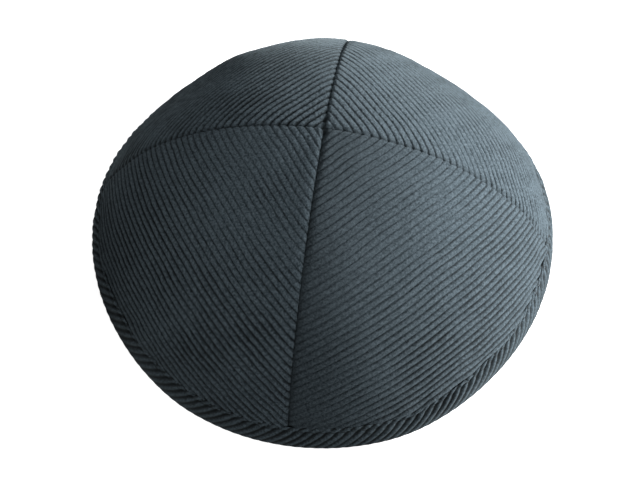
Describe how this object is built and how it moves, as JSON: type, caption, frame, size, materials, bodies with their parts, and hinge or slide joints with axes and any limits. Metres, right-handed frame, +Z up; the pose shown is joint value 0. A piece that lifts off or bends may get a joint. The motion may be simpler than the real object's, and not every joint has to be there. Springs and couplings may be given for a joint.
{
  "type": "corduroy kippah",
  "caption": "Round cloth skullcap: a shallow open dome of seamed corduroy panels that meet at the apex, its rim bound with a narrow bias-cut band.",
  "frame": {"origin": "on the surface the cap rests on, under the middle of the cap's box", "axes": "+Z up through the apex; the panels' seams lie in the planes X = 0 and Y = 0; -Y is the side nearest the camera in the picture, +X its right"},
  "size_m": [0.1716, 0.1716, 0.0732],
  "materials": {
    "corduroy": "dark slate cotton corduroy, medium wales, velvety cut pile",
    "binding": "the same corduroy cut on the bias and folded over the edge, wales diagonal"
  },
  "bodies": {
    "root": {"panel_front_left": "corduroy", "panel_front_right": "corduroy", "panel_back_left": "corduroy", "panel_back_right": "corduroy", "rim_band": "binding"}
  },
  "joints": []
}
